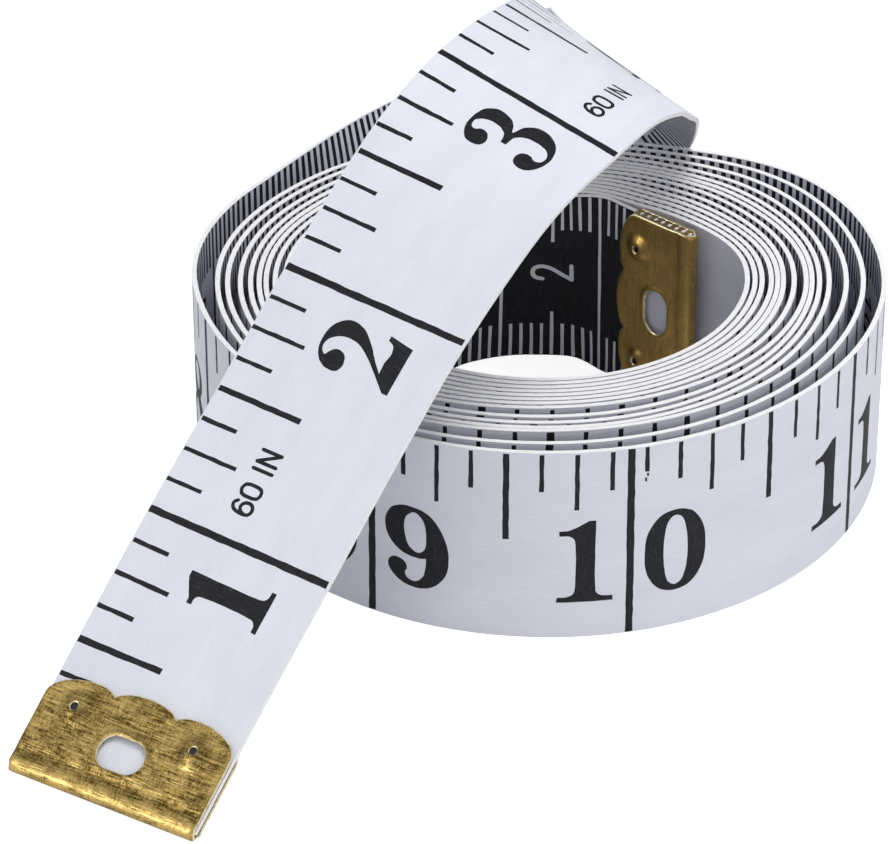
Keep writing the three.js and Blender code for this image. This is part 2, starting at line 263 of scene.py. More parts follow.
rows = run_middles + coil_middles + doubled_middles
acrosses = run_acrosses + coil_acrosses + doubled_acrosses
route_step = 0.3 * mm
spans = [max(2, math.ceil(np.linalg.norm(b - a) / route_step)) for a, b in zip(rows, rows[1:])]
row_at = np.concatenate([[0], np.cumsum(spans)])
middle = smooth(rows, spans)
beside = smooth([m + a * tape_width / 2 for m, a in zip(rows, acrosses)], spans)
along = np.gradient(middle, axis=0)
along /= np.linalg.norm(along, axis=1)[:, None]
across = beside - middle
across -= (across * along).sum(1)[:, None] * along
across /= np.linalg.norm(across, axis=1)[:, None]
face = np.cross(across, along)
walked = np.concatenate([[0], np.cumsum(np.linalg.norm(np.diff(middle, axis=0), axis=1))])

# Where the printed scale lies on the route: at the run's known rows, then at the coil's front
front_from, front_to = 225, 330
ten_degrees = 270 + math.degrees(0.28861)
knots = [(walked[row_at[i]], value * inch) for i, value in enumerate(run_inches)]
for degrees in (front_from, front_to):
    row = len(run_rows) + round((degrees - coil_start) / coil_step)
    printed = 10 * inch + math.radians(degrees - ten_degrees) * coil_radius
    knots.append((walked[row_at[row]], printed))
tape_end = knots[-1][1] + walked[-1] - knots[-1][0]
knots.append((walked[-1], tape_end))
knots_walked, knots_printed = np.array(knots).T
place_of = np.interp(walked, knots_walked, knots_printed)


def at(places):
    """Middles, ways along, ways across and face normals at places on the printed scale."""
    found = []
    for table in (middle, along, across, face):
        found.append(np.stack([np.interp(places, place_of, column) for column in table.T], 1))
    for table in found[1:]:
        table /= np.linalg.norm(table, axis=1)[:, None]
    return found


# Numbers drawn as outlines, in hundredths of their height. A third value marks a sharp corner.
bold_digits = {
    "0": [
        [(36, 100), (55, 94.5), (68.5, 76), (72.5, 50), (68.5, 24), (55, 5.5), (36, 0), (17, 5.5),
         (3.5, 24), (0, 50), (3.5, 76), (17, 94.5)],
        [(36, 93), (44, 88), (49, 72), (50.5, 50), (49, 28), (44, 12), (36, 7), (28, 12), (23.5, 28),
         (22, 50), (23.5, 72), (28, 88)],
    ],
    "1": [
        [(0, 0, 1), (0.8, 6, 1), (13, 7), (19, 11), (20.5, 19), (20.5, 72), (18.5, 79), (13, 82),
         (2.8, 82.2, 1), (2.6, 88.2, 1), (13, 89), (24, 93.7), (35.5, 100, 1), (43, 100, 1), (43, 19),
         (44.3, 11), (50, 7), (62.6, 6, 1), (62.6, 0, 1)],
    ],
    "2": [
        [(5, 70), (6.5, 84), (17, 95.5), (34, 100), (52, 96.5), (63.5, 86), (66, 73), (61, 58.5),
         (48, 44), (33, 31), (22.5, 20.5, 1), (36, 21.5), (49, 19.5), (57.5, 22.5), (61.5, 30, 1),
         (67.5, 30, 1), (62.5, 0, 1), (3.5, 0, 1), (3.5, 7, 1), (20, 25), (35, 43), (44, 58), (46, 74),
         (41, 88), (32, 94.5), (22.5, 93), (19, 88.5), (25.5, 84), (30, 76.5), (27, 67.5), (18, 63),
         (9, 64.5)],
    ],
    "3": [
        [(5, 78.5), (7.5, 90), (19, 98), (34, 100), (52, 96), (61.5, 85), (60.5, 69), (53, 58.5),
         (43, 53.5), (57, 48.5), (66.5, 38), (67.5, 24), (58, 8), (38, 0), (18, 2.5), (5, 12), (3, 22),
         (7.5, 30), (16, 32.5), (25, 28), (26.5, 20), (22.5, 13), (25, 7), (34, 5), (44, 11), (47.5, 24),
         (46, 38), (38, 47.5), (24, 49.5, 1), (24, 56, 1), (36, 59.5), (42.5, 71), (41, 87), (33, 95),
         (25, 93), (23.5, 88.5), (27.5, 82), (25.5, 73.5), (17, 69), (8.5, 71)],
    ],
    "4": [
        [(42, 100, 1), (52, 100, 1), (52, 35.5, 1), (68, 35.5, 1), (68, 26.5, 1), (52, 26.5, 1),
         (52, 13), (54.5, 7), (65, 5.5, 1), (65, 0, 1), (19, 0, 1), (19, 5.5, 1), (28.5, 7), (30, 13),
         (30, 26.5, 1), (0, 26.5, 1), (0, 34, 1)],
        [(30, 35.5, 1), (30, 76, 1), (7.5, 35.5, 1)],
    ],
    "5": [
        [(11.5, 99, 1), (29, 95.5), (45, 96.5), (60, 100, 1), (57.5, 87), (48, 80.5), (32, 80),
         (16.5, 83.5, 1), (15.5, 60.5, 1), (25, 64.5), (38, 66), (56, 60), (65.5, 45), (66, 28), (57, 9),
         (37, 0), (16, 3), (5, 12), (3, 21), (7.5, 30), (16, 32), (25, 27.5), (26.5, 19.5), (22.5, 12.5),
         (25, 7), (33, 5), (43, 11), (47, 29), (45, 47), (37, 58), (26, 58.5), (16.5, 53, 1),
         (10, 53, 1)],
    ],
    "7": [
        [(4.5, 72, 1), (6, 100, 1), (10, 100, 1), (15, 96.5), (30, 98.5), (48, 94.5), (59, 100, 1),
         (66, 100, 1), (66, 92, 1), (56, 68), (48, 45), (45, 22), (44.5, 8), (38, 0), (27, 0), (21, 7),
         (22, 20), (30, 42), (43, 63), (54, 79, 1), (40, 79), (26, 81.5), (16, 80), (10, 72, 1)],
    ],
    "8": [
        [(34, 100), (52, 95.5), (61, 84), (60, 69), (51, 56.5), (62.5, 46), (67.5, 32), (65, 15),
         (53, 3.5), (34, 0), (14, 3.5), (2.5, 15), (1, 29), (8, 42), (19, 50), (8.5, 61), (5.5, 76),
         (12, 91), (22, 98)],
        [(35, 95), (44.5, 88), (45.5, 75), (40, 62.5), (28, 68), (21, 79), (23.5, 91)],
        [(27, 45.5), (40, 36), (49, 22), (45.5, 9.5), (34, 5), (21, 10), (15.5, 24), (19, 37)],
    ],
    "9": [
        [(29.3, 100), (51, 94.5), (68, 74), (75.5, 46), (71.5, 21), (56.5, 4.5), (36.8, 0), (19, 4.5),
         (6.8, 15), (3.5, 24.5), (7.5, 31.5), (15.5, 33.5), (23.5, 30), (27, 23.3), (24.3, 16.5),
         (27, 10.5), (36, 7.8), (45, 14.5), (48.5, 27), (49.3, 39, 1), (42, 37.5), (22, 40.8), (6, 54),
         (0, 73.5), (5.5, 91), (16.8, 98.5)],
        [(35.5, 93.5), (46, 85), (49.5, 65), (47.5, 50), (40, 44.3), (30, 50), (24, 66), (25.5, 86)],
    ],
}
nine_width = 75.5
bold_digits["6"] = [[(nine_width - p[0], 100 - p[1], *p[2:]) for p in c] for c in bold_digits["9"]]

# Plain letters drawn as strokes, in hundredths of their height
plain_letters = {
    "0": [[(30, 100), (52, 90), (58, 50), (52, 10), (30, 0), (8, 10), (2, 50), (8, 90), (30, 100)]],
    "1": [[(10, 80), (34, 100)], [(34, 100), (34, 0)]],
    "2": [[(3, 75), (10, 94), (30, 100), (50, 94), (56, 74), (44, 50), (22, 26), (2, 0)], [(2, 0),
          (60, 0)]],
    "3": [[(4, 82), (14, 96), (30, 100), (50, 92), (53, 72), (42, 56), (24, 53)], [(24, 53), (46, 49),
          (58, 30), (52, 8), (30, 0), (12, 4), (2, 20)]],
    "4": [[(60, 28), (0, 28)], [(0, 28), (42, 100)], [(42, 100), (42, 0)]],
    "5": [[(54, 100), (12, 100)], [(12, 100), (6, 54)], [(6, 54), (28, 62), (52, 50), (57, 28),
          (48, 6), (26, 0), (10, 4), (2, 18)]],
    "6": [[(52, 86), (42, 98), (28, 100), (10, 86), (2, 50), (6, 12), (28, 0), (50, 10), (57, 32),
          (48, 54), (30, 62), (10, 50), (4, 34)]],
    "7": [[(2, 100), (58, 100)], [(58, 100), (38, 62), (24, 0)]],
    "8": [[(30, 54), (10, 66), (8, 88), (30, 100), (52, 88), (50, 66), (30, 54), (4, 36), (4, 10),
          (30, 0), (56, 10), (56, 36), (30, 54)]],
    "9": [[(8, 14), (18, 2), (32, 0), (50, 14), (58, 50), (54, 88), (32, 100), (10, 90), (3, 68),
          (12, 46), (30, 38), (50, 50), (56, 66)]],
    "I": [[(10, 0), (10, 100)]],
    "N": [[(6, 0), (6, 100)], [(6, 100), (62, 0)], [(62, 0), (62, 100)]],
}

# Where the tape may bend: most degrees and most length from one station to the next
station_turn = 4.5
station_step = 6 * mm
station_room = 0.35 * mm
curve_steps = 4
stroke_steps = 2
station_slip = 1e-8

# Print sizes. Distances across are from the ticked edge.
edge_margin = 0.08 * mm
tick_lengths = {0: 4 * mm, 2: 6 * mm, 4: 9.2 * mm}
tick_widths = {0: 0.42 * mm, 2: 0.42 * mm, 4: 0.57 * mm}
tick_play = 0.12
line_width = 0.7 * mm
ragged = 0.035 * mm
ragged_step = 0.8 * mm
metric_ragged_step = 2.5 * mm
digit_height = 8.8 * mm
digit_bases = {False: 16.15 * mm, True: 15.9 * mm}
digit_squeeze = 0.93
digit_gap = 1.2 * mm
digit_gap_after = 1.0 * mm
single_gaps = {1: 2.1 * mm, 2: 1.75 * mm, 3: 1.6 * mm}
single_narrow = 0.66
one_stem = (0.205, 0.43)
block_share = 7 / 16
# For each labelled inch: height, distance across and place of the label
labels = {1: (2.1 * mm, 9.55 * mm, 0.11 * inch), 3: (1.9 * mm, 16 * mm, 0.115 * inch)}
label_stroke_share = 0.17
label_spacings = {"6": 0.78, "0": 0.86, " ": 0.34, "I": 0.38, "N": 0.75}
# The worn mark beside each tenth line: place, low end, high end and width, in millimetres
broken_tick = [(0, 0.1, 2.7, 0.42), (0.06, 2.85, 3.2, 0.2), (-0.1, 3.3, 3.75, 0.22)]
line_slip = -1.45 * mm
stroke_slant = 0.72

centimetre = 10 * mm
metric_block_share = 0.15
metric_tick = 4.1 * mm
metric_half_tick = 5.6 * mm
metric_tick_widths = {-1: 0.5 * mm, 1: 0.32 * mm}
metric_slip = 1.65 * mm
metric_digit = 3.9 * mm
metric_digit_squeeze = 0.76
metric_letter_share = 0.6
metric_digit_gap = 0.7 * mm
metric_digit_middle = 0.47
metric_digit_stroke = 0.45 * mm
dark_zone = (7.5 * mm, 52 * mm)
bare_turns = (13.24, 13.56)
least_block = 1e-6


def rounded(contour):
    """Points of a closed outline one unit high, smooth between its sharp corners."""
    count = len(contour)
    points = np.array([p[:2] for p in contour]) / 100
    corners = [i for i, p in enumerate(contour) if len(p) > 2]
    if not corners:
        ring = points[np.arange(-2, count + 3) % count]
        return smooth(ring, [curve_steps] * (len(ring) - 1))[2 * curve_steps:-2 * curve_steps - 1].tolist()
    out = []
    for here, there in zip(corners, corners[1:] + [corners[0] + count]):
        part = points[np.arange(here, there + 1) % count]
        steps = [1] if len(part) == 2 else [curve_steps] * (len(part) - 1)
        out += smooth(part, steps)[:-1].tolist()
    return out


bold_outlines = {name: [rounded(c) for c in contours] for name, contours in bold_digits.items()}


def ragged_polygon(points, amount, most=ragged_step):
    """The polygon with its sides cut short and pushed in and out a little."""
    out = []
    for (x0, y0), (x1, y1) in zip(points, points[1:] + points[:1]):
        length = max(math.hypot(x1 - x0, y1 - y0), near_zero)
        side_x, side_y = (y1 - y0) / length, (x0 - x1) / length
        count = max(1, round(length / most))
        for i in range(count):
            push = rng.uniform(-amount, amount)
            t = i / count
            out.append((x0 + t * (x1 - x0) + push * side_x, y0 + t * (y1 - y0) + push * side_y))
    return out


def bar(place, low, high, width, most=ragged_step):
    """A printed mark across the tape, as a polygon of (place, distance across)."""
    left, right = place - width / 2, place + width / 2
    return ragged_polygon([(left, low), (right, low), (right, high), (left, high)], ragged, most)


def capsule(a, b, width):
    """A stroke's segment with rounded ends."""
    a, b = np.array(a), np.array(b)
    way = (b - a) / np.linalg.norm(b - a) * width / 2
    side = np.array([-way[1], way[0]])
    slant = (way + side) * stroke_slant, (way - side) * stroke_slant
    points = [a + side, b + side, b + slant[0], b + way, b + slant[1], b - side, a - side]
    points += [a - slant[0], a - way, a - slant[1]]
    return [tuple(p) for p in points]


def strokes(name, width, to_place):
    """The capsules of a plain letter, put in place by to_place."""
    out = []
    for line in plain_letters[name]:
        line = np.array(line) / 100
        points = smooth(line, [stroke_steps] * (len(line) - 1)) if len(line) > 2 else line
        points = [to_place(x, y) for x, y in points]
        out += [capsule(a, b, width) for a, b in zip(points, points[1:])]
    return out


class Marks:
    """The ink polygons of one block of print, and the openings in them."""

    def __init__(self):
        self.inked = []
        self.open = []

    def bold(self, name, left, base, narrow=1):
        """Adds a number, its sides beyond the stem drawn in if it is to be narrow."""
        width, height = digit_height * digit_squeeze, digit_height
        low, high = one_stem if narrow < 1 else (0, 2)
        for i, outline in enumerate(bold_outlines[name]):
            points = []
            for x, y in outline:
                x = low + (x - low) * narrow if x < low else high + (x - high) * narrow if x > high else x
                points.append((left + x * width, base - y * height))
            (self.open if i else self.inked).append(ragged_polygon(points, ragged / 2))


def bold_width(name, narrow=1):
    """A number's width, less if its sides beyond the stem are drawn in."""
    wide = max(x for x, y in bold_outlines[name][0])
    if narrow < 1:
        wide = one_stem[1] + (wide - one_stem[1]) * narrow
    return wide * digit_height * digit_squeeze


def inch_marks(number):
    """Ticks, line and number of one printed inch."""
    marks = Marks()
    centre = number * inch
    for eighth in range(-4, 4):
        if eighth == 0:
            continue
        kind = 4 if eighth == -4 else 2 if eighth % 2 == 0 else 0
        low = edge_margin + rng.uniform(0, tick_play) * mm
        length = tick_lengths[kind] + rng.uniform(-tick_play, tick_play) * mm
        marks.inked.append(bar(centre + eighth * inch / 8, low, low + length, tick_widths[kind]))
    if number == 0:
        return marks
    line = centre + (0 if number % 10 else line_slip)
    marks.inked.append(bar(line, edge_margin, tape_width - edge_margin, line_width))
    if number % 10 == 0:
        for aside, low, high, width in broken_tick:
            marks.inked.append(bar(centre + aside * mm, low * mm, high * mm, width * mm))
    text = f"{number:02d}" if number == 9 else str(number)
    single = len(text) == 1
    narrow = single_narrow if number == 1 else 1
    base = digit_bases[single]
    gap = single_gaps.get(number, single_gaps[3]) if single else digit_gap
    right = line - gap - line_width / 2
    marks.bold(text[0], right - bold_width(text[0], narrow), base, narrow)
    if not single:
        marks.bold(text[1], line + digit_gap_after + line_width / 2, base)
    if number in labels:
        height, base, start = labels[number]
        pen = centre + start
        for name in "60 IN":
            if name != " ":
                to_place = lambda x, y: (pen + x * height, base - y * height)
                marks.inked += strokes(name, label_stroke_share * height, to_place)
            pen += label_spacings[name] * height
    return marks


def metric_marks(number, side):
    """Millimetre ticks, line and number of one centimetre, counted from the inner end."""
    marks = Marks()
    start = tape_end - number * centimetre - metric_slip
    far_edge = tape_width - edge_margin
    for tenth in range(-1, 9):
        reaches = [(edge_margin, far_edge)]
        if tenth:
            length = metric_half_tick if tenth == 5 else metric_tick
            reaches = [(edge_margin, length), (tape_width - length, far_edge)]
        for low, high in reaches:
            mark = bar(start + tenth * mm, low, high, metric_tick_widths[side], metric_ragged_step)
            marks.inked.append(mark)
    text = str(number)
    letter = metric_digit * metric_digit_squeeze
    digit_width = letter * metric_letter_share
    step = digit_width + metric_digit_gap
    first = metric_digit_middle * tape_width + side * ((len(text) - 1) * step / 2 + digit_width / 2)
    base = start + centimetre / 2 + metric_digit / 2
    for i, name in enumerate(text):
        to_place = lambda x, y: (base - y * metric_digit, first - side * (i * step + x * letter))
        marks.inked += strokes(name, metric_digit_stroke, to_place)
    return marks


def stations_between(start, end, forced):
    """Places where the tape is allowed to bend, closer together where it turns sharply."""
    bends = np.arccos(np.clip((face[1:] * face[:-1]).sum(1), -1, 1))
    turning = np.concatenate([[0], np.cumsum(bends)])
    effort = turning / math.radians(station_turn) + place_of / station_step
    low, high = np.interp([start, end], place_of, effort)
    count = max(2, math.ceil(high - low))
    places = np.interp(np.linspace(low, high, count + 1), effort, place_of)
    after = np.searchsorted(forced, places).clip(1, len(forced) - 1)
    room = np.minimum(abs(places - forced[after - 1]), abs(forced[after] - places))
    return np.union1d(places[room > station_room], forced)


def signed_area(polygon):
    x, y = np.array(polygon).T
    return (x * np.roll(y, -1) - np.roll(x, -1) * y).sum() / 2


def block_faces(here, marks):
    """The block's triangles in the flat, as corners in the flat, triangles and inked flags."""
    count = len(here)
    points = [(p, 0.0) for p in here] + [(p, tape_width) for p in here]
    edges = [(i, i + 1) for i in range(count - 1)]
    edges += [(count + i, count + i + 1) for i in range(count - 1)]
    edges += [(i, count + i) for i in range(count)]
    faces = [list(range(count)) + list(range(2 * count - 1, count - 1, -1))]
    inked_ids, open_ids = set(), set()
    for polygons, ids in ((marks.inked, inked_ids), (marks.open, open_ids)):
        for polygon in polygons:
            reach = [p for p, _ in polygon]
            if min(reach) > here[0] and max(reach) < here[-1]:
                if signed_area(polygon) < 0:
                    polygon = polygon[::-1]
                ids.add(len(faces))
                faces.append(list(range(len(points), len(points) + len(polygon))))
                points += polygon
    near = [Vector(((p - here[0]) / mm, q / mm)) for p, q in points]
    corners, _, triangles, _, _, parents = delaunay_2d_cdt(near, edges, faces, 1, weld, True)
    flat = np.array([corner[:] for corner in corners]) * mm
    inked = [not inked_ids.isdisjoint(own) and open_ids.isdisjoint(own) for own in parents]
    return flat, np.array(triangles), np.array(inked)


def print_blocks(start, end):
    """The blocks of print on both faces, as (low, high, marks, dark ground)."""
    dark_from, dark_to = tape_end - dark_zone[1], tape_end - dark_zone[0]
    bare = [place_of[row_at[len(run_rows) + round(t / coil_turns * coil_count)]] for t in bare_turns]
    blocks = {1: [], -1: []}

    def add(side, low, high, marks, ground=False):
        if high - low > least_block:
            blocks[side].append((low, high, marks, ground))

    for number in range(round(start / inch) - 1, round(end / inch) + 2):
        low, high = (number - 1 + block_share) * inch, (number + block_share) * inch
        marks = inch_marks(number) if number >= 0 else Marks()
        add(1, max(low, start), min(high, end, dark_from), marks)
    for number in range(int((tape_end - end) / centimetre) - 1, int((tape_end - start) / centimetre) + 3):
        low = tape_end - (number + metric_block_share) * centimetre - metric_slip
        high = low + centimetre
        for side, floor, ceiling in ((-1, start, end), (1, max(start, dark_from), min(end, dark_to))):
            if min(high, ceiling) > max(low, floor):
                hidden = number <= 0 or side < 0 and bare[0] < (low + high) / 2 < bare[1]
                marks = Marks() if hidden else metric_marks(number, side)
                add(side, max(low, floor), min(high, ceiling), marks, side > 0)
    add(1, max(start, dark_to), end, Marks())
    return blocks


def linked(name, data):
    """A new object in the scene that carries the data."""
    obj = bpy.data.objects.new(name, data)
    bpy.context.scene.collection.objects.link(obj)
    return obj


def finished_mesh(name, points, polygons, materials, slots, attribute_name, attribute_values):
    """A smooth-shaded mesh with its materials and a place for their textures at each point."""
    mesh = bpy.data.meshes.new(name)
    mesh.from_pydata(points.tolist(), [], polygons)
    for material in materials:
        mesh.materials.append(material)
    mesh.polygons.foreach_set("material_index", slots)
    mesh.polygons.foreach_set("use_smooth", [True] * len(polygons))
    attribute = mesh.attributes.new(attribute_name, "FLOAT_VECTOR", "POINT")
    attribute.data.foreach_set("vector", attribute_values.astype(np.float32).ravel())
    return mesh


def tape_mesh(name, start, end, materials):
    """A closed band of tape from one place on the scale to another, printed on both faces."""
    blocks = print_blocks(start, end)
    forced = np.unique(np.round([x for side in blocks.values() for b in side for x in b[:2]], 9))
    stations = stations_between(start, end, forced)
    # Border corners come first: for each face and each edge, one at every station.
    spots = [(place, offset, side) for side in (1, -1) for offset in (0, tape_width) for place in stations]
    front, back = np.arange(len(spots)).reshape(2, 2, len(stations))
    triangles, slots = [], []
    for side, edges in ((1, front), (-1, back)):
        for low, high, marks, ground in blocks[side]:
            here = stations[(stations > low - station_slip) & (stations < high + station_slip)]
            first = int(np.searchsorted(stations, here[0] - station_slip))
            flat, corners, inked = block_faces(here, marks)
            index = np.empty(len(flat), int)
            on_border = (flat[:, 1] < near_zero) | (flat[:, 1] > tape_width - near_zero)
            inside = ~on_border
            nearest = abs(flat[on_border, 0][:, None] + here[0] - here[None, :]).argmin(1) + first
            index[on_border] = edges[(flat[on_border, 1] > tape_width / 2).astype(int), nearest]
            index[inside] = len(spots) + np.arange(inside.sum())
            spots += [(here[0] + place, offset, side) for place, offset in flat[inside]]
            a, b, c = (flat[corners[:, k]] for k in range(3))
            area = (b - a)[:, 0] * (c - a)[:, 1] - (c - a)[:, 0] * (b - a)[:, 1]
            corners = index[corners]
            turned = (area < 0) != (side > 0)
            corners[turned] = corners[turned][:, ::-1]
            triangles.append(corners)
            slots.append((inked != ground).astype(int))
    # Walls along the ticked edge, the other edge, the start and the end
    walls = [
        np.stack([front[0, :-1], front[0, 1:], back[0, 1:], back[0, :-1]], 1),
        np.stack([back[1, :-1], back[1, 1:], front[1, 1:], front[1, :-1]], 1),
        np.array([[back[0, 0], back[1, 0], front[1, 0], front[0, 0]]]),
        np.array([[front[0, -1], front[1, -1], back[1, -1], back[0, -1]]]),
    ]
    kinds = [np.zeros(sum(len(t) for t in triangles), int)]
    for kind, quads in enumerate(walls, 1):
        triangles += [quads[:, [0, 1, 2]], quads[:, [0, 2, 3]]]
        slots.append(np.full(2 * len(quads), 2))
        kinds.append(np.full(2 * len(quads), kind))
    triangles, slots, kinds = (np.concatenate(part) for part in (triangles, slots, kinds))
    places, offsets, sides = np.array(spots).T

    m, a, c, f = at(places)
    points = m + c * (offsets - tape_width / 2)[:, None] + f * (sides * tape_thick / 2)[:, None]
    print_place = np.stack([places / mm, offsets / mm, sides], 1)
    mesh = finished_mesh(name, points + coil_centre, triangles.tolist(), materials, slots,
                         "tape_place", print_place)
    used = triangles.ravel()
    kinds = np.repeat(kinds, 3)
    normals = f[used] * sides[used][:, None]
    for kind, table in enumerate((-c, c, -a, a), 1):
        normals[kinds == kind] = table[used[kinds == kind]]
    mesh.normals_split_custom_set(normals.tolist())
    return linked(name, mesh)


# Materials
def feed(tree, made, inputs):
    """Links sockets to a node's inputs and sets plain values on them."""
    for key, value in inputs.items():
        if isinstance(value, bpy.types.NodeSocket):
            tree.links.new(value, made.inputs[key])
        else:
            made.inputs[key].default_value = value


def node(tree, kind, inputs, **settings):
    made = tree.nodes.new(kind)
    for key, value in settings.items():
        setattr(made, key, value)
    feed(tree, made, inputs)
    return made


def new_material(name):
    material = bpy.data.materials.new(name)
    material.use_nodes = True
    tree = material.node_tree
    return material, tree, tree.nodes["Principled BSDF"]


def place_on(tree, attribute):
    return node(tree, "ShaderNodeAttribute", {}, attribute_name=attribute).outputs["Vector"]


def noise(tree, place, stretch, detail=3, roughness=0.55, seed=0):
    """Noise over a place that is stretched along its axes. The seed moves it aside."""
    vector = {0: place, 1: stretch, 2: (0, 0, seed)}
    vector = node(tree, "ShaderNodeVectorMath", vector, operation="MULTIPLY_ADD").outputs[0]
    inputs = {"Vector": vector, "Scale": 1, "Detail": detail, "Roughness": roughness}
    return node(tree, "ShaderNodeTexNoise", inputs).outputs["Fac"]


def ramp(tree, value, stops):
    made = node(tree, "ShaderNodeValToRGB", {"Fac": value})
    elements = made.color_ramp.elements
    while len(elements) < len(stops):
        elements.new(0.5)
    for element, (place, colour) in zip(elements, stops):
        element.position = place
        element.color = (*colour, 1)
    return made.outputs["Color"]


def bump(tree, height, distance, strength, under=None):
    inputs = {"Height": height, "Distance": distance, "Strength": strength}
    if under is not None:
        inputs["Normal"] = under
    return node(tree, "ShaderNodeBump", inputs).outputs["Normal"]


def cloth_material():
    """White coated cloth: a fine weave under the coating, faint mottling and streaks."""
    material, tree, shader = new_material("coated_cloth")
    place = place_on(tree, "tape_place")
    mottle = noise(tree, place, (0.12, 0.3, 1), 4)
    weave = noise(tree, place, (2.2, 5, 1), 2)
    grain = noise(tree, place, (0.25, 3.2, 1), 2)
    feed(tree, shader, {
        "Base Color": ramp(tree, mottle, [(0.3, (0.69, 0.705, 0.795)), (0.7, (0.75, 0.762, 0.84))]),
        "Normal": bump(tree, grain, 0.08 * mm, 0.7, bump(tree, weave, 0.02 * mm, 0.6)),
        "Roughness": ramp(tree, grain, [(0.2, (0.46,) * 3), (0.8, (0.56,) * 3)]),
        "Specular IOR Level": 0.4,
    })
    return material


def ink_material():
    """Black ink with the fine streaks of the cloth's threads showing through."""
    material, tree, shader = new_material("black_ink")
    streak = noise(tree, place_on(tree, "tape_place"), (4.8, 1.28, 1.6), 4, 0.65)
    stops = [(0.35, (0.006, 0.006, 0.009)), (0.6, (0.013, 0.0125, 0.017)), (0.78, (0.045, 0.045, 0.055))]
    feed(tree, shader, {
        "Base Color": ramp(tree, streak, stops),
        "Normal": bump(tree, streak, 0.02 * mm, 0.5),
        "Roughness": 0.6,
        "Specular IOR Level": 0.3,
    })
    return material


def edge_material():
    """The tape's cut edge, where the threads show unevenly through the coating."""
    material, tree, shader = new_material("cut_edge")
    mottle = noise(tree, place_on(tree, "tape_place"), (1.3, 4, 1.5), 4)
    feed(tree, shader, {
        "Base Color": ramp(tree, mottle, [(0.3, (0.78, 0.78, 0.8)), (0.55, (0.9, 0.9, 0.91))]),
        "Normal": bump(tree, mottle, 0.05 * mm, 0.8),
        "Roughness": 0.75,
    })
    return material


tape_materials = [cloth_material(), ink_material(), edge_material()]

# The two tape pieces
tip_inset = 0.65 * mm
loop_from = walked[row_at[hinge_row]]
loop_to = walked[row_at[len(run_rows)]]
tape_cut = float(np.interp(loop_from + loop_end_share * (loop_to - loop_from), walked, place_of))
tape_run = tape_mesh("tape_run", tip_inset, tape_cut, tape_materials)
tape_winding = tape_mesh("tape_winding", tape_cut, tape_end - tip_inset, tape_materials)

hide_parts("tape_free_end", "tape_loop")
hinge_across = at(np.array([3 * inch]))[2][0]
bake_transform(tape_run)
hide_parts("tape_coil", "tape_inner_end")
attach(tape_winding, "coil")

# The clips: one brass sheet folded over the tape's end
sheet_thick = 0.3 * mm
leaf_height = 0.6 * mm
clip_side = 6.8 * mm
lobe_reach = 9.2 * mm
notch_reach = 8.2 * mm
notch_place = tape_width / 6
lobe_ease = 0.9 * mm
slot_centre = 3.8 * mm
slot_length = 5 * mm
slot_breadth = 3.2 * mm
slot_straight = (slot_length - slot_breadth) / 2
dimple_centre = (6.15 * mm, 6.45 * mm)
dimple_radius = 1.7 * mm
dimple_height = 0.75 * mm
dimple_power = 1.25
hole_radius = 0.45 * mm
hole_offset = (0.1 * mm, -0.1 * mm)
crater_share = 0.3
crater_radius = 0.72 * mm
lip_height = 0.13 * mm
lip_width = 0.26 * mm
lip_inset = 0.16 * mm
valley_place = 1.25 * mm
valley_width = 0.42 * mm
valley_depth = 0.12 * mm
dent_count = 5
dent_height = 0.012 * mm
dent_waves = (1.6, 1.2)
dent_phase = 6.3
press_reach = 0.6 * mm
sheet_bevel = 0.09 * mm
tooth_count = 8
tooth_start = 0.3 * mm
tooth_pitch = 0.85 * mm
tooth_length = 0.55 * tooth_pitch
tooth_deep = 0.5 * mm
tooth_proud = 0.06 * mm
tooth_edge = -1

# How finely the sheet is divided: steps, and rings round the holes and the slot in millimetres
fold_steps = 13
flat_steps = 120
flat_start = 0.05 * mm
flat_spare = 0.5 * mm
slope_step = 0.02 * mm
lobe_steps = 14
side_steps = 17
slot_steps = 12
hole_steps = 14
ring_steps = (18, 4)
slot_ring_steps = 16
hole_rings = (0.1, 0.22, 0.38, 0.58, 0.82, 1.1, 1.4)
slot_rings = (0.08, 0.17, 0.27, 0.4, 0.56, 0.76)
sheet_grid = 0.42 * mm
grid_row = 0.8 * sheet_grid
grid_start = 0.25 * mm
grid_margins = (0.2 * mm, 0.1 * mm)
fold_grid = 0.8 * mm
fold_columns = 12
grid_apart = 0.55 * sheet_grid
border_apart = 0.07 * mm


def bezier(a, b, c, d, count):
    t = (np.arange(count) / count)[:, None]
    a, b, c, d = (np.array(point) for point in (a, b, c, d))
    return (1 - t) ** 3 * a + 3 * (1 - t) ** 2 * t * b + 3 * (1 - t) * t ** 2 * c + t ** 3 * d


def lobes():
    """The leaf's far edge, from one side of the clip to the other: three rounded lobes."""
    half, ease, notch = tape_width / 2, lobe_ease, notch_place
    side_reach, reach = lobe_reach - ease / 2, lobe_reach + ease / 3
    curves = [
        ((clip_side, -half), (side_reach, ease / 3 - half), (reach, -notch - ease), (notch_reach, -notch)),
        ((notch_reach, -notch), (reach, ease - notch), (reach, notch - ease), (notch_reach, notch)),
        ((notch_reach, notch), (reach, notch + ease), (side_reach, half - ease / 3), (clip_side, half)),
    ]
    return np.vstack([bezier(*curve, lobe_steps) for curve in curves] + [[(clip_side, half)]])


def slot_outline(steps):
    out = []
    for end, start in ((slot_straight, 0), (-slot_straight, math.pi)):
        for i in range(steps + 1):
            angle = start + math.pi * i / steps
            out.append((slot_centre + slot_breadth / 2 * math.cos(angle),
                        end + slot_breadth / 2 * math.sin(angle)))
    return np.array(out)


